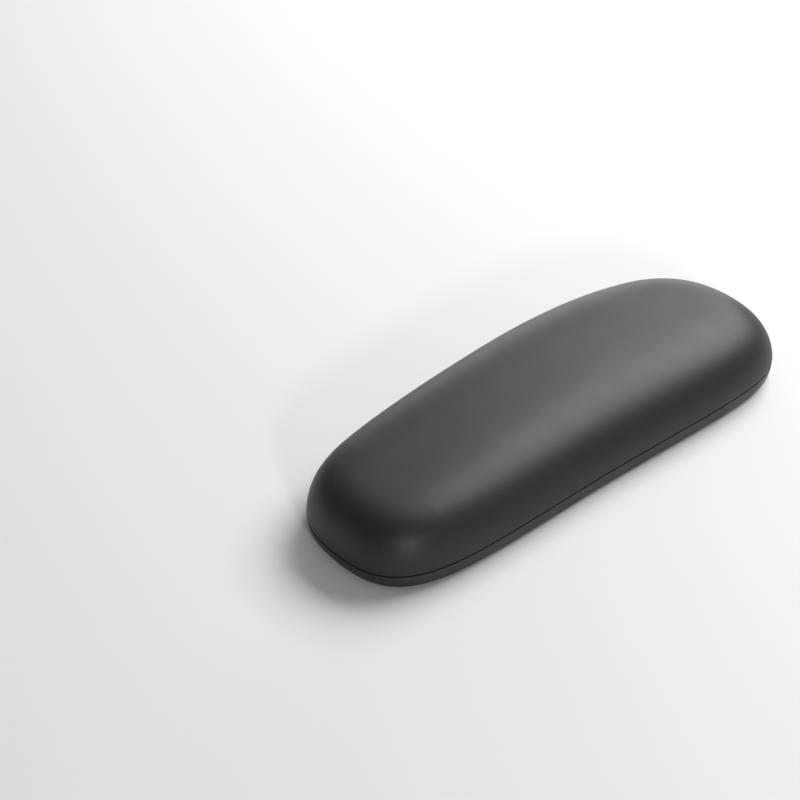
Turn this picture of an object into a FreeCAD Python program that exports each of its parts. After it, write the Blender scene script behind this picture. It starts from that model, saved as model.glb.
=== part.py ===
"""Chair armrest pad: a moulded foam pad on a plastic carrier, closed underneath by a base shell.

Millimetres, +Z up. The origin is the centre of the four mounting holes, on the underside.
+X runs along the pad towards its wide end. The outline is straight on the -Y side and bowed on the +Y side.
"""
import FreeCAD, Part
import math
import os

from FreeCAD import Vector

# ---- outline, seen from above ----
LENGTH = 250.0
HALF_WIDTH = 47.3         # half the width at mid-length, before the taper and the end fill
TAPER = 6.0               # the wide end's gain in half width, and the narrow end's loss
END_FILL_2 = 9.6          # squares the ends off: gain in half width, growing with the square of the distance
END_FILL_4 = 10.5         # the same, with the fourth power
NARROW_END_POWER = 2.46   # superellipse power of each end
WIDE_END_POWER = 2.23
BOW = 9.5                 # how far the centre line bows towards +Y at mid-length
BOW_SKEW = 5.0            # moves the fullest part of the bow towards the wide end
Y_SHIFT = -9.8            # puts the outline's box on the mounting centre
OUTLINE_POINTS = 72

# ---- heights ----
FLOOR = 3.0               # base shell floor
RIM_TOP = 8.0             # where the base shell's outer wall ends
SEAM_TOP = 8.4            # the pad's lower face; the gap down to RIM_TOP is the shadow line
CROWN = (33.8, 0.6, -3.1)   # top height along the pad: constant, linear and square terms
SHOULDER_POWER = 3.66     # how far the flat of the top reaches before the shoulder rolls over
NOSE_POWER = 1.9          # the narrow end's gain in that power, growing with the square of the distance
SHOULDER_ROOT = 1.67      # roundness of the shoulder and lean of the wall below it
END_ROUND = 32.0          # the spine of the section stops this far from each tip
SECTIONS = 27
FIRST_SECTION = 0.035     # angle from the tip to the first section, in radians; leaves a 6 mm flat at each tip
SECTION_POINTS = 21

# ---- base shell ----
WALL = 3.0
UNDERCUT = 2.8            # how far the wall curves in from the rim to the underside
NOSE_UNDERCUT = 2.5       # the narrow end's gain in that, growing with the fourth power of the distance
WALL_STEPS = (0.0, 0.3, 0.55, 0.75, 0.9, 1.0)   # shares of the way down at which that curve is drawn
LAND_INSET = 1.4          # the locating land inside the shadow line
RECESS_INSET = 9.0        # the shallow field in the underside
RECESS_DEPTH = 1.0
SEAT_LENGTH = 142.0       # raised mounting seat inside that field
SEAT_WIDTH = 62.0
SEAT_CORNER = 9.0
RIB = 1.6
RIB_GAP = 0.6             # between the ribs' tops and the pad
CROSS_RIB_X = (-96.0, -72.0, -24.0, 0.0, 24.0, 72.0, 96.0)
LONG_RIB_Y = (-35.0, 0.0, 35.0)

# ---- mounting holes and their insert nuts (M6) ----
HOLE_SPACING_X = 100.0
HOLE_SPACING_Y = 40.0
THREAD_RADIUS = 2.5       # minor radius of the M6 thread
THREAD_CHAMFER = 0.6
BARREL_RADIUS = 4.0
HEX_FLATS = 12.0
HEX_HEIGHT = 2.2
PILLAR_RADIUS = 7.0
PILLAR_CLEARANCE = 0.3
NUT_BOSS_RADIUS = 10.0
BOLT_POCKET = 5.0         # free depth above each nut for the end of a long bolt

# ---- carrier plate ----
CARRIER_INSET = 14.0
CARRIER_PLATE = 3.0
CARRIER_RIB = 2.0
CARRIER_RIB_HEIGHT = 3.0
CARRIER_RIB_Y = (-13.0, 13.0)
CARRIER_CROSS_X = (-72.0, -28.0, 28.0, 72.0)
CARRIER_CROSS_HALF = 27.0
CARRIER_RIB_HALF = 84.0
KEY_RADIUS = 4.5          # holes that the foam grows through
KEY_HOLES = ((-86.0, 0.0), (-28.0, -22.5), (-28.0, 22.5), (0.0, 0.0), (28.0, -22.5), (28.0, 22.5), (88.0, 0.0))

# ---- screws that hold the base shell to the carrier ----
SCREWS = ((-88.0, -20.0), (-88.0, 13.0), (0.0, -24.0), (0.0, 26.0), (88.0, -22.0), (88.0, 18.0))
SCREW_RADIUS = 2.0
SCREW_CORE = 1.45
SCREW_PITCH = 1.6
SCREW_LENGTH = 9.6
SCREW_TIP = 2.4
HEAD_RADIUS = 3.9
HEAD_HEIGHT = 2.3
HEAD_SEAT = 3.6           # height of the screw seat above the underside
CROSS_ARM = 2.3
CROSS_SLOT = 0.9
CROSS_DEPTH = 1.4
COUNTERBORE_RADIUS = 4.5
SHANK_CLEARANCE = 0.3
SCREW_BOSS_RADIUS = 6.2
CARRIER_BOSS_RADIUS = 4.6
CARRIER_BOSS_TOP = 14.4

CARRIER_TOP = SEAM_TOP + CARRIER_PLATE
HOLES = [(sx * HOLE_SPACING_X / 2, sy * HOLE_SPACING_Y / 2) for sx in (-1, 1) for sy in (-1, 1)]
HOLE_NAMES = ("narrow_end_straight_side", "narrow_end_bowed_side", "wide_end_straight_side", "wide_end_bowed_side")
SCREW_NAMES = ("narrow_end_straight_side", "narrow_end_bowed_side", "middle_straight_side", "middle_bowed_side",
               "wide_end_straight_side", "wide_end_bowed_side")


def power(value, exponent):
    """A power that keeps the sign of its base."""
    return math.copysign(abs(value) ** exponent, value)


def fullness(u):
    """Half width before the ends close; u runs from -1 at the narrow end to 1 at the wide end."""
    return HALF_WIDTH + TAPER * u + END_FILL_2 * u ** 2 + END_FILL_4 * u ** 4


def centre_line(u):
    return Y_SHIFT + (BOW + BOW_SKEW * u) * (1 - u ** 2)


def end_power(u):
    return WIDE_END_POWER if u > 0 else NARROW_END_POWER


def half_width(u):
    """Half the outline's width at u: the fullness closed off as a superellipse."""
    return fullness(u) * max(0.0, 1 - abs(u) ** end_power(u)) ** (1 / end_power(u))


def outline_point(angle):
    n = end_power(math.cos(angle))
    u = power(math.cos(angle), 2 / n)
    y = power(math.sin(angle), 2 / n) * fullness(u) + centre_line(u)
    return Vector(LENGTH / 2 * u, y, 0)


def outline_points(inset, nose_inset=0.0):
    """The outline moved inwards by inset, square to itself, and by nose_inset more at the narrow tip."""
    step = 2 * math.pi / OUTLINE_POINTS
    points = []
    for k in range(OUTLINE_POINTS):
        angle = (k + 0.5) * step
        here = outline_point(angle)
        along = outline_point(angle + step / 8) - outline_point(angle - step / 8)
        inward = Vector(-along.y, along.x, 0).normalize()
        nose = max(0.0, -2 * here.x / LENGTH) ** 4
        points.append(here + inward * (inset + nose_inset * nose))
    return points


def outline_wire(inset, z, nose_inset=0.0):
    curve = Part.BSplineCurve()
    curve.interpolate(Points=[Vector(p.x, p.y, z) for p in outline_points(inset, nose_inset)], PeriodicFlag=True)
    return Part.Wire([curve.toShape()])


def outline_block(inset, low, high):
    return Part.Face(outline_wire(inset, low)).extrude(Vector(0, 0, high - low))


def crown(u):
    return sum(c * u ** n for n, c in enumerate(CROWN))


def inside_outline(x, y):
    u = 2 * x / LENGTH
    return abs(u) < 1 and abs(y - centre_line(u)) < half_width(u)


def share_out(x, y):
    """How far out a point lies: 0 on the spine, 1 on the outline. Past the spine's ends the rays fan out."""
    reach = LENGTH / 2 - END_ROUND
    if abs(x) <= reach:
        u = 2 * x / LENGTH
        return min(1.0, abs(y - centre_line(u)) / half_width(u))
    spine_x = math.copysign(reach, x)
    spine_y = centre_line(2 * spine_x / LENGTH)
    low, high = 1.0, END_ROUND / abs(x - spine_x)
    for _ in range(50):
        factor = (low + high) / 2
        if inside_outline(spine_x + factor * (x - spine_x), spine_y + factor * (y - spine_y)):
            low = factor
        else:
            high = factor
    return 1 / low


def shoulder_power(u):
    return SHOULDER_POWER + NOSE_POWER * min(u, 0.0) ** 2


def top_height(x, y):
    """Height of the pad's upper surface: full on the spine, rolling over the shoulder down to the seam."""
    u = 2 * x / LENGTH
    fall = max(0.0, 1 - share_out(x, y) ** shoulder_power(u)) ** (1 / SHOULDER_ROOT)
    return SEAM_TOP + (crown(u) - SEAM_TOP) * fall


def pad_section(u):
    """One closed cross-section of the pad: an arched spline over a straight foot."""
    x, middle, half = LENGTH / 2 * u, centre_line(u), half_width(u)
    ys = [middle - half * math.cos(math.pi * k / (SECTION_POINTS - 1)) for k in range(SECTION_POINTS)]
    points = [Vector(x, y, top_height(x, y)) for y in ys]
    points[0].z = points[-1].z = SEAM_TOP
    arch = Part.BSplineCurve()
    arch.interpolate(Points=points)
    return Part.Wire([arch.toShape(), Part.LineSegment(points[-1], points[0]).toShape()])


def pad_form():
    """The pad's outer form, lofted through sections that crowd together towards the two tips."""
    step = (math.pi - 2 * FIRST_SECTION) / (SECTIONS - 1)
    stations = [-math.cos(FIRST_SECTION + k * step) for k in range(SECTIONS)]
    return Part.makeLoft([pad_section(u) for u in stations], True, False)


def cylinder(radius, x, y, low, high):
    return Part.makeCylinder(radius, high - low, Vector(x, y, low))


def box(x_low, x_high, y_low, y_high, low, high):
    return Part.makeBox(x_high - x_low, y_high - y_low, high - low, Vector(x_low, y_low, low))


def rounded_block(length, width, radius, low, high):
    block = box(-length / 2, length / 2, -width / 2, width / 2, low, high)
    upright = [e for e in block.Edges if abs(e.tangentAt(e.FirstParameter).z) > 0.99]
    return block.makeFillet(radius, upright)


def hexagon(flats, x, y, low, high):
    corner = flats / math.sqrt(3)
    points = [Vector(x + corner * math.cos(math.radians(a)), y + corner * math.sin(math.radians(a)), low)
              for a in range(0, 361, 60)]
    return Part.Face(Part.makePolygon(points)).extrude(Vector(0, 0, high - low))


def insert_nut(x, y):
    """A steel hex-head insert nut. Its barrel ends flush with the underside and its head bears on the carrier."""
    head = hexagon(HEX_FLATS, x, y, CARRIER_TOP, CARRIER_TOP + HEX_HEIGHT)
    body = head.fuse(cylinder(BARREL_RADIUS, x, y, 0, CARRIER_TOP))
    body = body.cut(cylinder(THREAD_RADIUS, x, y, -1, CARRIER_TOP + HEX_HEIGHT + 1))
    mouth_radius = THREAD_RADIUS + THREAD_CHAMFER
    lead_in = Part.makeCone(mouth_radius, THREAD_RADIUS, THREAD_CHAMFER,
                            Vector(x, y, CARRIER_TOP + HEX_HEIGHT), Vector(0, 0, -1))
    return body.cut(lead_in).removeSplitter()


def screw(x, y):
    """A self-tapping pan-head screw with a cross recess, driven upwards from the underside."""
    low = HEAD_SEAT - HEAD_HEIGHT
    head = cylinder(HEAD_RADIUS, x, y, low, HEAD_SEAT)
    rim = [e for e in head.Edges if isinstance(e.Curve, Part.Circle) and abs(e.CenterOfMass.z - low) < 1e-6]
    head = head.makeFillet(HEAD_HEIGHT * 0.6, rim)
    arms = [box(x - CROSS_ARM, x + CROSS_ARM, y - CROSS_SLOT / 2, y + CROSS_SLOT / 2, low - 1, low + CROSS_DEPTH),
            box(x - CROSS_SLOT / 2, x + CROSS_SLOT / 2, y - CROSS_ARM, y + CROSS_ARM, low - 1, low + CROSS_DEPTH)]
    shank_top = HEAD_SEAT + SCREW_LENGTH
    shank = cylinder(SCREW_RADIUS, x, y, HEAD_SEAT, shank_top - SCREW_TIP)
    tip = Part.makeCone(SCREW_RADIUS, SCREW_RADIUS * 0.2, SCREW_TIP, Vector(x, y, shank_top - SCREW_TIP))
    return head.cut(arms[0]).cut(arms[1]).fuse([shank, tip]).removeSplitter()


def carrier_plate():
    """The stiff insert that the foam is moulded onto."""
    adds = [cylinder(PILLAR_RADIUS, x, y, 0, SEAM_TOP) for x, y in HOLES]
    adds += [cylinder(NUT_BOSS_RADIUS, x, y, CARRIER_TOP, CARRIER_TOP + HEX_HEIGHT) for x, y in HOLES]
    adds += [cylinder(CARRIER_BOSS_RADIUS, x, y, CARRIER_TOP, CARRIER_BOSS_TOP) for x, y in SCREWS]
    rib_top = CARRIER_TOP + CARRIER_RIB_HEIGHT
    adds += [box(-CARRIER_RIB_HALF, CARRIER_RIB_HALF, y - CARRIER_RIB / 2, y + CARRIER_RIB / 2, CARRIER_TOP, rib_top)
             for y in CARRIER_RIB_Y]
    adds += [box(x - CARRIER_RIB / 2, x + CARRIER_RIB / 2, -CARRIER_CROSS_HALF, CARRIER_CROSS_HALF, CARRIER_TOP,
                 rib_top) for x in CARRIER_CROSS_X]
    cuts = [cylinder(BARREL_RADIUS, x, y, -1, CARRIER_TOP + 1) for x, y in HOLES]
    cuts += [hexagon(HEX_FLATS, x, y, CARRIER_TOP, rib_top + 1) for x, y in HOLES]
    cuts += [cylinder(SCREW_RADIUS, x, y, SEAM_TOP - 1, HEAD_SEAT + SCREW_LENGTH) for x, y in SCREWS]
    cuts += [cylinder(KEY_RADIUS, x, y, SEAM_TOP - 1, rib_top + 1) for x, y in KEY_HOLES]
    plate = outline_block(CARRIER_INSET, SEAM_TOP, CARRIER_TOP)
    return plate.fuse(adds).cut(cuts).removeSplitter()


def soft_pad(carrier):
    """The foam pad with its dense skin, moulded round the carrier. Above each nut it leaves room for a bolt's end."""
    pockets = []
    for x, y in HOLES:
        head_top = CARRIER_TOP + HEX_HEIGHT
        pockets.append(hexagon(HEX_FLATS, x, y, SEAM_TOP, head_top))
        pockets.append(cylinder(THREAD_RADIUS + THREAD_CHAMFER, x, y, SEAM_TOP, head_top + BOLT_POCKET))
    pockets += [cylinder(SCREW_RADIUS, x, y, SEAM_TOP, HEAD_SEAT + SCREW_LENGTH) for x, y in SCREWS]
    pad = pad_form().cut(carrier).cut(pockets)
    return max(pad.Solids, key=lambda s: s.Volume)


def base_body():
    """The base shell's wall and floor. The wall is upright at the rim and rounds under to the floor."""
    rings = []
    for down in WALL_STEPS:
        curl = 1 - math.sqrt(1 - down ** 2)
        rings.append(outline_wire(UNDERCUT * curl, RIM_TOP * (1 - down), NOSE_UNDERCUT * curl))
    outside = Part.makeLoft(rings, True, False)
    land = outline_block(LAND_INSET, RIM_TOP - 1, SEAM_TOP)
    return outside.fuse(land).cut(outline_block(WALL, FLOOR, SEAM_TOP + 1))


def base_shell():
    """The hard lower shell: underside, side band below the shadow line, ribs and screw bosses."""
    rib_top = SEAM_TOP - RIB_GAP
    reach = LENGTH / 2
    ribs = [box(x - RIB / 2, x + RIB / 2, -reach, reach, FLOOR, rib_top) for x in CROSS_RIB_X]
    ribs += [box(-reach, reach, y - RIB / 2, y + RIB / 2, FLOOR, rib_top) for y in LONG_RIB_Y]
    inside = outline_block(WALL, FLOOR, SEAM_TOP)
    ribs = ribs[0].fuse(ribs[1:]).common(inside)
    sleeve_radius = PILLAR_RADIUS + PILLAR_CLEARANCE
    adds = [cylinder(sleeve_radius + RIB, x, y, FLOOR, rib_top) for x, y in HOLES]
    adds += [cylinder(SCREW_BOSS_RADIUS, x, y, FLOOR, SEAM_TOP) for x, y in SCREWS]
    cuts = [cylinder(sleeve_radius, x, y, -1, SEAM_TOP + 1) for x, y in HOLES]
    cuts += [cylinder(COUNTERBORE_RADIUS, x, y, -1, HEAD_SEAT) for x, y in SCREWS]
    cuts += [cylinder(SCREW_RADIUS + SHANK_CLEARANCE, x, y, 0, SEAM_TOP + 1) for x, y in SCREWS]
    recess = outline_block(RECESS_INSET, -1, RECESS_DEPTH)
    recess = recess.cut(rounded_block(SEAT_LENGTH, SEAT_WIDTH, SEAT_CORNER, -2, RECESS_DEPTH + 1))
    return base_body().fuse([ribs] + adds).cut(cuts + [recess]).removeSplitter()


def write(name, shape):
    shape.exportStep(os.path.join("parts", name + ".step"))
    print(name, "solids", len(shape.Solids), "valid", shape.isValid(), "cm3", round(shape.Volume / 1000, 2))


def main():
    os.makedirs("parts", exist_ok=True)
    carrier = carrier_plate()
    write("base_shell", base_shell())
    write("carrier_plate", carrier)
    write("soft_pad", soft_pad(carrier))
    for name, (x, y) in zip(HOLE_NAMES, HOLES):
        write("insert_nut_" + name, insert_nut(x, y))
    for name, (x, y) in zip(SCREW_NAMES, SCREWS):
        write("cover_screw_" + name, screw(x, y))


main()
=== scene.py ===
"""Looks of a chair armrest pad: a satin black foam pad over a moulded base shell, with nuts and screws.

Laid out as an add-on and run as a script. Metres, +Z up. +X points to the wide end, +Y to the bowed side.
"""

import math

import bpy
import numpy as np
from bpy.props import FloatProperty, FloatVectorProperty, IntProperty, PointerProperty
from bpy.types import Operator, Panel, PropertyGroup
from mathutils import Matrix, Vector


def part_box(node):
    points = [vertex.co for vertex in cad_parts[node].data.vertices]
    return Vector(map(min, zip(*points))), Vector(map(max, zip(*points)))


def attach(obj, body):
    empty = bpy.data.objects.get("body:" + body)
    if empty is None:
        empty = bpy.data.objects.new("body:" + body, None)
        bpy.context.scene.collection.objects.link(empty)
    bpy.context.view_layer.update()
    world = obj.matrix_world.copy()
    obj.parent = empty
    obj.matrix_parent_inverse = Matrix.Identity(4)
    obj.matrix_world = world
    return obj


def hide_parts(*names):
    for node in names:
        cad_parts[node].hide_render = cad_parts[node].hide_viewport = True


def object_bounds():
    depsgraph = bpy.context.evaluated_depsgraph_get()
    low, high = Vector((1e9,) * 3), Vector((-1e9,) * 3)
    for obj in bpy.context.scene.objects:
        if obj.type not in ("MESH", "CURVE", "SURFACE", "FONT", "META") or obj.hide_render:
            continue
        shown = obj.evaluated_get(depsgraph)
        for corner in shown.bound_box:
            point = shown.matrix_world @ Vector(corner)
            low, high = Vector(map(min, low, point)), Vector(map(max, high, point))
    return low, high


bl_info = {
    "name": "Armrest pad looks",
    "version": (1, 0, 0),
    "blender": (4, 5, 0),
    "location": "3D View > Sidebar > Armrest",
    "description": "Builds the soft pad and the finishes of a chair armrest pad, in a plain studio",
    "category": "Object",
}

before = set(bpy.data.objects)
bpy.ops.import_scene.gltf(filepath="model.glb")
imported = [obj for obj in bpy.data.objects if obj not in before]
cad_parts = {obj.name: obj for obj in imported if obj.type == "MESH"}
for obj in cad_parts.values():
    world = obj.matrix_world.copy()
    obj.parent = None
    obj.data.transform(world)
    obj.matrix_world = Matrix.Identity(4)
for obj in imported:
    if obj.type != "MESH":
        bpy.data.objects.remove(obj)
CAD_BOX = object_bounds()
PAD_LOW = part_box("soft_pad")[0]
CARRIER_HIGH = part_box("carrier_plate")[1]
MM = 0.001
ROOT = "root"

# The pad's rings. Insets run inwards from the outline and heights up from the seam, both in millimetres.
INNERMOST_SHARE = 0.035        # the innermost rings' share of the way from the spine to the outline
LIP_RINGS = 6
FOOT_INSETS = (2.5, 6.0, 10.0, 13.0)
RECESS_WALL = ((13.6, 0.0), (13.6, 1.7), (13.6, 3.3), (14.6, 4.6))   # inset and height
ROOF_INSET = 16.5
ROOF_CLEARANCE = 0.4           # between the carrier's top and the roof of the recess
ROOF_SHARES = (0.8, 0.6, 0.4, 0.2, INNERMOST_SHARE)

SCRATCH_DEPTH = 0.00002        # height of the steel's fine scratches, in metres


# ---------------------------------------------------------------- settings

class PadSettings(PropertyGroup):
    """The soft pad's outline and section."""
    length: FloatProperty(name="Length", description="Tip to tip", default=0.25, unit="LENGTH", min=0.05)
    half_width: FloatProperty(name="Half width",
                              description="Half the width at mid-length before the taper", default=0.0473,
                              unit="LENGTH", min=0.01)
    taper: FloatProperty(name="Taper", description="Gain in half width at the wide end", default=0.006,
                         unit="LENGTH")
    end_fill_2: FloatProperty(name="End fill, square", description="Squares off the ends, square term",
                              default=0.0096, unit="LENGTH")
    end_fill_4: FloatProperty(name="End fill, fourth",
                              description="Squares off the ends, fourth-power term", default=0.0105,
                              unit="LENGTH")
    narrow_end_power: FloatProperty(name="Narrow end power",
                                    description="Superellipse power of the narrow end", default=2.46,
                                    min=1.5, max=6.0)
    wide_end_power: FloatProperty(name="Wide end power", description="Superellipse power of the wide end",
                                  default=2.23, min=1.5, max=6.0)
    bow: FloatProperty(name="Bow", description="Sideways bow of the centre line at mid-length",
                       default=0.0095, unit="LENGTH")
    bow_skew: FloatProperty(name="Bow skew", description="Moves the bow towards the wide end",
                            default=0.005, unit="LENGTH")
    y_shift: FloatProperty(name="Side shift", description="Puts the outline's box on the mounting centre",
                           default=-0.0098, unit="LENGTH")
    end_round: FloatProperty(name="End round",
                             description="The spine of the section stops this far from each tip",
                             default=0.032, unit="LENGTH", min=0.01)
    shoulder_power: FloatProperty(name="Shoulder power",
                                  description="How far out the flat of the top reaches", default=3.66,
                                  min=1.5, max=8.0)
    nose_power: FloatProperty(name="Nose power", description="Gain in shoulder power at the narrow tip",
                              default=1.9, min=0.0, max=6.0)
    crown_height: FloatProperty(name="Crown height", description="Height of the top at mid-length",
                                default=0.0338, unit="LENGTH", min=0.01)
    crown_rise: FloatProperty(name="Crown rise", description="Gain in that height at the wide end",
                              default=0.0006, unit="LENGTH")
    crown_fall: FloatProperty(name="Crown fall", description="Loss in that height at both ends",
                              default=0.0031, unit="LENGTH")
    shoulder_root: FloatProperty(name="Shoulder root",
                                 description="Roundness of the shoulder and lean of the wall",
                                 default=1.67, min=1.0, max=6.0)
    lip: FloatProperty(name="Lip radius",
                       description="Rounding of the pad's lower edge at the shadow line", default=0.0005,
                       unit="LENGTH", min=0.0001)
    columns: IntProperty(name="Columns", description="Points round the outline", default=520, min=64,
                         max=1200)
    rings: IntProperty(name="Rings", description="Points from the outline to the middle", default=96,
                       min=24, max=300)


class SkinSettings(PropertyGroup):
    """The pad's moulded skin."""
    colour: FloatVectorProperty(name="Colour", description="Colour of the foam's skin", subtype="COLOR",
                                size=3, min=0.0, max=1.0, default=(0.0105, 0.0105, 0.0112))
    roughness: FloatProperty(name="Roughness", description="Mean roughness", default=0.5, min=0.05,
                             max=1.0, subtype="FACTOR")
    gloss_spread: FloatProperty(name="Gloss spread",
                                description="How far the roughness strays from its mean", default=0.015,
                                min=0.0, max=0.2)
    wave_depth: FloatProperty(name="Wave depth", description="Height of the mould's faint waves",
                              default=0.00006, unit="LENGTH", min=0.0)
    grain: FloatProperty(name="Grain size", description="Width of one pebble of the grain",
                         default=0.0009, unit="LENGTH", min=0.0002)
    grain_depth: FloatProperty(name="Grain depth", description="Height of the grain", default=0.000016,
                               unit="LENGTH", min=0.0)
    pores_per_pebble: FloatProperty(name="Pores per pebble", description="How much finer the pores are",
                                    default=3.2, min=1.0)
    pore_share: FloatProperty(name="Pore share", description="Depth of a pore as a share of the grain's",
                              default=0.4, min=0.0, max=1.0)


class ShellSettings(PropertyGroup):
    """The hard plastic pieces."""
    colour: FloatVectorProperty(name="Shell colour", description="Colour of the base shell",
                                subtype="COLOR", size=3, min=0.0, max=1.0, default=(0.017, 0.017, 0.018))
    roughness: FloatProperty(name="Shell roughness", description="Mean roughness of the base shell",
                             default=0.5, min=0.05, max=1.0, subtype="FACTOR")
    spark: FloatProperty(name="Texture size",
                         description="Width of one grain of the spark-eroded texture", default=0.0004,
                         unit="LENGTH", min=0.0001)
    spark_depth: FloatProperty(name="Texture depth", description="Height of that texture",
                               default=0.00003, unit="LENGTH", min=0.0)
    carrier_colour: FloatVectorProperty(name="Carrier colour",
                                        description="Colour of the glass-filled carrier", subtype="COLOR",
                                        size=3, min=0.0, max=1.0, default=(0.02, 0.02, 0.02))
    carrier_roughness: FloatProperty(name="Carrier roughness",
                                     description="Mean roughness of the carrier", default=0.6, min=0.05,
                                     max=1.0, subtype="FACTOR")
    carrier_grain: FloatProperty(name="Carrier grain",
                                 description="Width of one grain of the carrier's surface",
                                 default=0.0008, unit="LENGTH", min=0.0001)
    carrier_depth: FloatProperty(name="Carrier grain depth", description="Height of that grain",
                                 default=0.00004, unit="LENGTH", min=0.0)


class FastenerSettings(PropertyGroup):
    """The nuts and screws."""
    zinc: FloatVectorProperty(name="Zinc colour", description="Colour of the nuts' plating",
                              subtype="COLOR", size=3, min=0.0, max=1.0, default=(0.56, 0.57, 0.58))
    phosphate: FloatVectorProperty(name="Screw colour",
                                   description="Colour of the screws' black phosphate", subtype="COLOR",
                                   size=3, min=0.0, max=1.0, default=(0.035, 0.035, 0.038))
    zinc_roughness: FloatProperty(name="Zinc roughness", description="Mean roughness of the nuts",
                                  default=0.34, min=0.05, max=1.0, subtype="FACTOR")
    phosphate_roughness: FloatProperty(name="Screw roughness", description="Mean roughness of the screws",
                                       default=0.42, min=0.05, max=1.0, subtype="FACTOR")
    phosphate_metallic: FloatProperty(name="Screw metallic",
                                      description="How metallic the phosphate looks", default=0.6,
                                      min=0.0, max=1.0, subtype="FACTOR")


class StageSettings(PropertyGroup):
    """The camera, the floor and the lights."""
    eye: FloatVectorProperty(name="Camera place", description="Where the camera stands", size=3,
                             subtype="TRANSLATION", unit="LENGTH", default=(-0.4500, -0.4260, 0.4829))
    heading: FloatProperty(name="Heading", description="Turn of the view from +Y towards +X",
                           default=math.radians(40.91), unit="ROTATION")
    pitch: FloatProperty(name="Pitch", description="How far the view looks down",
                         default=math.radians(37.0), unit="ROTATION")
    lens: FloatProperty(name="Lens", description="Focal length on a 36 mm sensor", default=78.75,
                        unit="CAMERA", min=10.0)
    sensor: FloatProperty(name="Sensor", description="Width of the sensor", default=36.0, unit="CAMERA",
                          min=1.0)
    floor_colour: FloatVectorProperty(name="Floor colour", description="Colour of the floor",
                                      subtype="COLOR", size=3, min=0.0, max=1.0,
                                      default=(0.84, 0.84, 0.84))
    floor_gap: FloatProperty(name="Floor gap", description="Between the floor and the part's underside",
                             default=0.0002, unit="LENGTH", min=0.0)
    floor_size: FloatProperty(name="Floor size", description="Length of the floor's side", default=6.0,
                              unit="LENGTH", min=1.0)
    world: FloatProperty(name="Surround", description="Brightness of the surround", default=0.22, min=0.0)
    lamp_distance: FloatProperty(name="Lamp distance", description="From the aim point to each lamp",
                                 default=1.6, unit="LENGTH", min=0.5)
    aim_height: FloatProperty(name="Aim height", description="Height of the point that the lamps face",
                              default=0.02, unit="LENGTH")
    key_heading: FloatProperty(name="Key heading", description="Key softbox, counted from +X",
                               default=math.radians(5.0), unit="ROTATION")
    key_height: FloatProperty(name="Key height", description="Key softbox above the floor",
                              default=math.radians(45.0), unit="ROTATION")
    key_size: FloatVectorProperty(name="Key size", description="Width and depth of the key softbox",
                                  size=2, unit="LENGTH", default=(1.4, 0.8))
    key_power: FloatProperty(name="Key power", description="Watts of the key softbox", default=30.0,
                             min=0.0)
    rim_heading: FloatProperty(name="Rim heading", description="Low rim softbox, counted from +X",
                               default=math.radians(45.0), unit="ROTATION")
    rim_height: FloatProperty(name="Rim height", description="Low rim softbox above the floor",
                              default=math.radians(7.0), unit="ROTATION")
    rim_size: FloatVectorProperty(name="Rim size", description="Width and depth of the rim softbox",
                                  size=2, unit="LENGTH", default=(1.2, 0.35))
    rim_power: FloatProperty(name="Rim power", description="Watts of the rim softbox", default=6.0,
                             min=0.0)
    glint_heading: FloatProperty(name="Glint heading", description="Small lamp, counted from +X",
                                 default=math.radians(-115.0), unit="ROTATION")
    glint_height: FloatProperty(name="Glint height", description="Small lamp above the floor",
                                default=math.radians(20.0), unit="ROTATION")
    glint_size: FloatVectorProperty(name="Glint size", description="Width and depth of the small lamp",
                                    size=2, unit="LENGTH", default=(0.15, 0.15))
    glint_power: FloatProperty(name="Glint power", description="Watts of the small lamp", default=6.0,
                               min=0.0)


# ---------------------------------------------------------------- surfaces

def signed_power(value, exponent):
    """Power that keeps the sign of its base."""
    return np.sign(value) * np.abs(value) ** exponent


def centre_line(pad, u):
    """Sideways place of the centre line: shift + (bow + skew u)(1 - u^2), with u from -1 to 1."""
    return pad.y_shift + (pad.bow + pad.bow_skew * u) * (1 - u ** 2)


def outline(pad, inset=0.0):
    """Closed outline, one point for each angle T. u is cos T to the power 2/n. y is sin T to the power 2/n
    times the fullness (half width + taper u + fill u^2 + fill u^4), plus the centre line. n is each end's
    own power. An inset moves each point inwards along its own normal."""
    step = 2 * math.pi / pad.columns
    angle = (np.arange(pad.columns) + 0.5) * step

    def point(t):
        n = np.where(np.cos(t) > 0, pad.wide_end_power, pad.narrow_end_power)
        u = signed_power(np.cos(t), 2 / n)
        full = pad.half_width + pad.taper * u + pad.end_fill_2 * u ** 2 + pad.end_fill_4 * u ** 4
        y = signed_power(np.sin(t), 2 / n) * full + centre_line(pad, u)
        return np.stack([pad.length / 2 * u, y], axis=1)

    along = point(angle + step / 8) - point(angle - step / 8)
    inward = np.stack([-along[:, 1], along[:, 0]], axis=1)
    inward /= np.linalg.norm(inward, axis=1, keepdims=True)
    return point(angle) + inset * inward


def spine(pad, edge):
    """For each outline point, the nearest point of the centre line between the ends' rounding centres."""
    reach = pad.length / 2 - pad.end_round
    x = np.clip(edge[:, 0], -reach, reach)
    return np.stack([x, centre_line(pad, 2 * x / pad.length)], axis=1)


def crown(pad, u):
    """Top height along the pad: height + rise u - fall u^2, with u from -1 to 1."""
    return pad.crown_height + pad.crown_rise * u - pad.crown_fall * u ** 2


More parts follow.
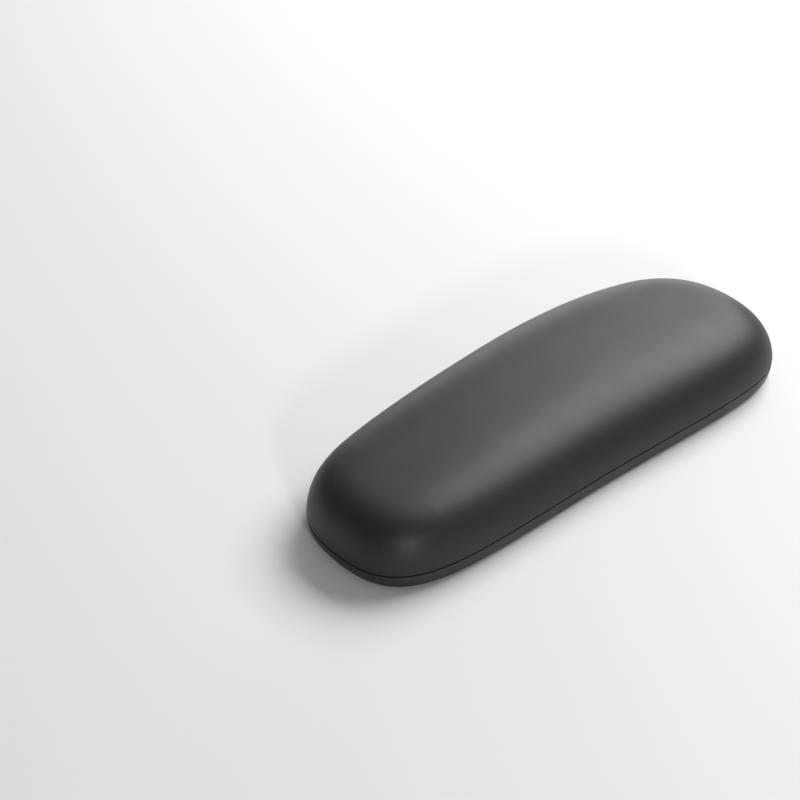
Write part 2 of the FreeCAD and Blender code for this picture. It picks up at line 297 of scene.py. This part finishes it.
def pad_surface(pad):
    """The pad as rings of points, from the middle of its top over the edge to the middle of its underside.
    Top: a point at the share r of the way from the spine to the outline has the height
    foot + (crown - foot) (1 - r^n)^(1/m), where n is the shoulder power plus nose power times u^2 at the
    narrow end, and m is the shoulder root. The rings follow equal steps of an angle: its cosine to the power
    2 / shoulder power, laid between the innermost share and 1, is r.
    Lip: a quarter circle under the foot. Underside: flat, then a recess that clears the carrier."""
    edge = outline(pad)
    middle = spine(pad, edge)
    seam = PAD_LOW.z
    foot = seam + pad.lip
    angle = np.linspace(0.5 * math.pi, 0.0, pad.rings)[:, None, None]
    share = np.cos(angle) ** (2 / pad.shoulder_power)
    share = INNERMOST_SHARE + (1 - INNERMOST_SHARE) * share
    flat = middle[None] + (edge - middle)[None] * share
    u = 2 * flat[..., 0] / pad.length
    power = pad.shoulder_power + pad.nose_power * np.minimum(u, 0.0) ** 2
    rise = np.clip(1 - share[..., 0] ** power, 0, None) ** (1 / pad.shoulder_root)
    height = foot + (crown(pad, u) - foot) * rise
    top = np.concatenate([flat, height[..., None]], axis=2)

    turn = np.linspace(0, 0.5 * math.pi, LIP_RINGS + 1)[1:]
    lip = [np.column_stack([outline(pad, pad.lip * (1 - math.cos(t))),
                            np.full(pad.columns, foot - pad.lip * math.sin(t))]) for t in turn]
    roof = CARRIER_HIGH.z + ROOF_CLEARANCE * MM
    steps = [(inset, seam) for inset in FOOT_INSETS]
    steps += [(inset, seam + up * MM) for inset, up in RECESS_WALL]
    steps.append((ROOF_INSET, roof))
    under = [np.column_stack([outline(pad, inset * MM), np.full(pad.columns, z)]) for inset, z in steps]
    last = under[-1][:, :2]
    for part in ROOF_SHARES:
        under.append(np.column_stack([middle + (last - middle) * part, np.full(pad.columns, roof)]))
    return np.concatenate([top, np.array(lip), np.array(under)])


def ring_faces(rings, columns):
    """Quads between neighbouring rings, and a ladder of quads across the first and the last ring, each of
    which closes on its mirror half."""
    i, j = np.meshgrid(np.arange(rings - 1), np.arange(columns), indexing="ij")
    k = (j + 1) % columns
    wall = np.stack([i * columns + j, (i + 1) * columns + j, (i + 1) * columns + k, i * columns + k],
                    axis=2)
    a = np.arange(columns // 2 - 1)
    ladder = np.stack([a, a + 1, columns - 2 - a, columns - 1 - a], axis=1)
    return np.concatenate([wall.reshape(-1, 4), ladder, ladder[:, ::-1] + (rings - 1) * columns])


def make_object(name, points, faces):
    """A smooth mesh object from an array of points and an array of quads."""
    mesh = bpy.data.meshes.new(name)
    mesh.from_pydata(points.reshape(-1, 3), [], faces.tolist())
    mesh.shade_smooth()
    mesh.update()
    piece = bpy.data.objects.new(name, mesh)
    bpy.context.scene.collection.objects.link(piece)
    return piece


# ---------------------------------------------------------------- finishes

class Finish:
    """A node material under construction, with short calls for adding and joining nodes."""

    def __init__(self, name):
        self.material = bpy.data.materials.new(name)
        self.material.use_nodes = True
        self.tree = self.material.node_tree
        self.shader = self.tree.nodes["Principled BSDF"]
        self.place = self.add("ShaderNodeTexCoord").outputs["Object"]

    def add(self, kind, settings=None, **inputs):
        """Adds a node. Settings are its properties; inputs are values or sockets by name."""
        node = self.tree.nodes.new(kind)
        for key, value in (settings or {}).items():
            setattr(node, key, value)
        for key, value in inputs.items():
            self.put(node.inputs[key.replace("_", " ")], value)
        return node

    def put(self, socket, value):
        if isinstance(value, bpy.types.NodeSocket):
            self.tree.links.new(value, socket)
        else:
            socket.default_value = value

    def noise(self, scale, detail=3.0, rough=0.5):
        return self.add("ShaderNodeTexNoise", Vector=self.place, Scale=scale, Detail=detail,
                        Roughness=rough).outputs["Fac"]

    def cells(self, scale, smooth=0.6):
        return self.add("ShaderNodeTexVoronoi", {"feature": "SMOOTH_F1"}, Vector=self.place, Scale=scale,
                        Smoothness=smooth).outputs["Distance"]

    def spread(self, value, low, high, source=(0.3, 0.7)):
        """Maps a texture value from the source range to low..high."""
        node = self.add("ShaderNodeMapRange", {"clamp": True})
        self.put(node.inputs["Value"], value)
        for name, number in zip(("From Min", "From Max", "To Min", "To Max"), (*source, low, high)):
            node.inputs[name].default_value = number
        return node.outputs["Result"]

    def blend(self, factor, first, second):
        """A colour between two colours, by the numbers of the mix node's colour sockets."""
        node = self.add("ShaderNodeMix", {"data_type": "RGBA"})
        self.put(node.inputs[0], factor)
        self.put(node.inputs[6], (*first, 1.0))
        self.put(node.inputs[7], (*second, 1.0))
        return node.outputs[2]

    def mottle(self, colour, scale, dark, light, detail=3.0):
        """Joins the base colour to a noise between a darker and a lighter shade of one colour."""
        factor = self.spread(self.noise(scale, detail), 0.0, 1.0)
        shades = self.blend(factor, scaled(colour, dark), scaled(colour, light))
        self.put(self.shader.inputs["Base Color"], shades)

    def bump(self, height, distance, below=None):
        node = self.add("ShaderNodeBump", Strength=1.0, Distance=distance, Height=height)
        if below is not None:
            self.put(node.inputs["Normal"], below)
        return node.outputs["Normal"]


def scaled(colour, factor):
    """A colour made darker or lighter by a factor, with no channel above 1."""
    return tuple(min(1.0, c * factor) for c in colour)


def skin_finish(skin):
    """Integral-skin foam: satin black with a pebbled grain, faint waves of the mould and uneven gloss."""
    f = Finish("integral_skin_foam")
    grain = 1.0 / skin.grain
    f.mottle(skin.colour, scale=24.0, dark=0.85, light=1.2)
    f.put(f.shader.inputs["Roughness"],
          f.spread(f.noise(70.0, detail=5.0, rough=0.6), skin.roughness - skin.gloss_spread,
                   skin.roughness + skin.gloss_spread))
    wave = f.bump(f.noise(35.0, detail=2.0), skin.wave_depth)
    pebble = f.bump(f.cells(grain), skin.grain_depth, wave)
    pores = f.bump(f.noise(grain * skin.pores_per_pebble, detail=2.0), skin.grain_depth * skin.pore_share,
                   pebble)
    f.put(f.shader.inputs["Normal"], pores)
    return f.material


def plastic_finish(name, colour, roughness, texture, depth):
    """Moulded plastic: a fine spark-eroded texture, faint flow shading and uneven gloss."""
    f = Finish(name)
    f.mottle(colour, scale=18.0, dark=0.85, light=1.2)
    f.put(f.shader.inputs["Roughness"],
          f.spread(f.noise(110.0, detail=5.0), roughness - 0.06, roughness + 0.06))
    f.put(f.shader.inputs["Normal"], f.bump(f.noise(1.0 / texture, rough=0.7), depth))
    return f.material


def metal_finish(name, colour, metallic, roughness):
    """Plated or phosphated steel: mottled colour, fine scratches in the gloss."""
    f = Finish(name)
    f.mottle(colour, scale=900.0, dark=0.75, light=1.15, detail=4.0)
    f.shader.inputs["Metallic"].default_value = metallic
    f.put(f.shader.inputs["Roughness"], f.spread(f.noise(1600.0, detail=4.0), roughness - 0.08,
                                                  roughness + 0.1))
    f.put(f.shader.inputs["Normal"], f.bump(f.noise(2500.0, detail=2.0), SCRATCH_DEPTH))
    return f.material


def dress(node, material):
    """Gives a CAD node one material in all of its slots."""
    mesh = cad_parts[node].data
    mesh.materials.clear()
    mesh.materials.append(material)


# ---------------------------------------------------------------- operators

class ARMREST_OT_soft_pad(Operator):
    """Build the soft pad's skin surface and its grain"""
    bl_idname = "armrest.soft_pad"
    bl_label = "Soft pad"

    def execute(self, context):
        pad, skin = context.scene.armrest_pad, context.scene.armrest_skin
        points = pad_surface(pad)
        piece = make_object("soft_pad_skin", points, ring_faces(len(points), pad.columns))
        piece.data.materials.append(skin_finish(skin))
        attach(piece, ROOT)
        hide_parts("soft_pad")
        return {"FINISHED"}


class ARMREST_OT_plastic(Operator):
    """Finish the base shell and the carrier plate as moulded plastic"""
    bl_idname = "armrest.plastic"
    bl_label = "Base shell and carrier"

    def execute(self, context):
        shell = context.scene.armrest_shell
        outer = plastic_finish("textured_shell_plastic", shell.colour, shell.roughness, shell.spark,
                               shell.spark_depth)
        inner = plastic_finish("glass_filled_nylon", shell.carrier_colour, shell.carrier_roughness,
                               shell.carrier_grain, shell.carrier_depth)
        dress("base_shell", outer)
        dress("carrier_plate", inner)
        return {"FINISHED"}


class ARMREST_OT_fasteners(Operator):
    """Finish the insert nuts in zinc and the cover screws in black phosphate"""
    bl_idname = "armrest.fasteners"
    bl_label = "Nuts and screws"

    def execute(self, context):
        steel = context.scene.armrest_fasteners
        zinc = metal_finish("zinc_plating", steel.zinc, 1.0, steel.zinc_roughness)
        phosphate = metal_finish("black_phosphate", steel.phosphate, steel.phosphate_metallic,
                                 steel.phosphate_roughness)
        for node in sorted(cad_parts):
            if node.startswith("insert_nut"):
                dress(node, zinc)
            elif node.startswith("cover_screw"):
                dress(node, phosphate)
        return {"FINISHED"}


class ARMREST_OT_stage(Operator):
    """Build the floor, the surround, the lamps and the camera"""
    bl_idname = "armrest.stage"
    bl_label = "Stage"

    def execute(self, context):
        scene, stage = context.scene, context.scene.armrest_stage
        half = stage.floor_size / 2
        low = CAD_BOX[0][2] - stage.floor_gap
        corners = np.array([(x * half, y * half, low) for x, y in ((-1, -1), (1, -1), (1, 1), (-1, 1))])
        floor = make_object("floor", corners, np.array([[0, 1, 2, 3]]))
        f = Finish("pale_floor")
        f.mottle(stage.floor_colour, scale=3.0, dark=0.99, light=1.0)
        f.shader.inputs["Roughness"].default_value = 0.7
        floor.data.materials.append(f.material)

        world = bpy.data.worlds.new("surround")
        world.use_nodes = True
        world.node_tree.nodes["Background"].inputs["Color"].default_value = (1.0, 1.0, 1.0, 1.0)
        world.node_tree.nodes["Background"].inputs["Strength"].default_value = stage.world
        scene.world = world

        self.softbox("key_softbox", stage.key_heading, stage.key_height, stage.key_size, stage.key_power,
                     stage)
        self.softbox("rim_softbox", stage.rim_heading, stage.rim_height, stage.rim_size, stage.rim_power,
                     stage)
        self.softbox("glint_lamp", stage.glint_heading, stage.glint_height, stage.glint_size,
                     stage.glint_power, stage)

        camera = bpy.data.cameras.new("camera")
        camera.lens = stage.lens
        camera.sensor_width = stage.sensor
        camera.clip_start, camera.clip_end = 0.01, 50.0
        view = bpy.data.objects.new("camera", camera)
        view.location = stage.eye
        view.rotation_euler = (math.pi / 2 - stage.pitch, 0.0, -stage.heading)
        scene.collection.objects.link(view)
        scene.camera = view
        scene.view_settings.view_transform = "Standard"
        scene.view_settings.look = "None"
        return {"FINISHED"}

    def softbox(self, name, heading, height, size, power, stage):
        """A rectangular area light that faces the aim point from a heading, counted from +X, and a height
        angle."""
        out = Vector((math.cos(height) * math.cos(heading), math.cos(height) * math.sin(heading),
                      math.sin(height)))
        light = bpy.data.lights.new(name, "AREA")
        light.shape = "RECTANGLE"
        light.size, light.size_y = size
        light.energy = power
        lamp = bpy.data.objects.new(name, light)
        lamp.location = out * stage.lamp_distance + Vector((0.0, 0.0, stage.aim_height))
        lamp.rotation_euler = out.to_track_quat("Z", "Y").to_euler()
        bpy.context.scene.collection.objects.link(lamp)


class ARMREST_PT_panel(Panel):
    """Armrest pad settings and steps"""
    bl_label = "Armrest pad"
    bl_idname = "ARMREST_PT_panel"
    bl_space_type = "VIEW_3D"
    bl_region_type = "UI"
    bl_category = "Armrest"

    def draw(self, context):
        for group, step in GROUP_STEPS:
            box = self.layout.box()
            settings = getattr(context.scene, group)
            for name in settings.__annotations__:
                box.prop(settings, name)
            if step:
                box.operator(step)


GROUPS = {
    "armrest_pad": PadSettings,
    "armrest_skin": SkinSettings,
    "armrest_shell": ShellSettings,
    "armrest_fasteners": FastenerSettings,
    "armrest_stage": StageSettings,
}
GROUP_STEPS = (
    ("armrest_pad", None),
    ("armrest_skin", "armrest.soft_pad"),
    ("armrest_shell", "armrest.plastic"),
    ("armrest_fasteners", "armrest.fasteners"),
    ("armrest_stage", "armrest.stage"),
)
CLASSES = (*GROUPS.values(), ARMREST_OT_soft_pad, ARMREST_OT_plastic, ARMREST_OT_fasteners,
           ARMREST_OT_stage, ARMREST_PT_panel)


def register():
    for cls in CLASSES:
        bpy.utils.register_class(cls)
    for name, group in GROUPS.items():
        setattr(bpy.types.Scene, name, PointerProperty(type=group))


def unregister():
    for name in GROUPS:
        delattr(bpy.types.Scene, name)
    for cls in reversed(CLASSES):
        bpy.utils.unregister_class(cls)


def main():
    register()
    bpy.ops.armrest.soft_pad()
    bpy.ops.armrest.plastic()
    bpy.ops.armrest.fasteners()
    bpy.ops.armrest.stage()


if __name__ == "__main__":
    main()
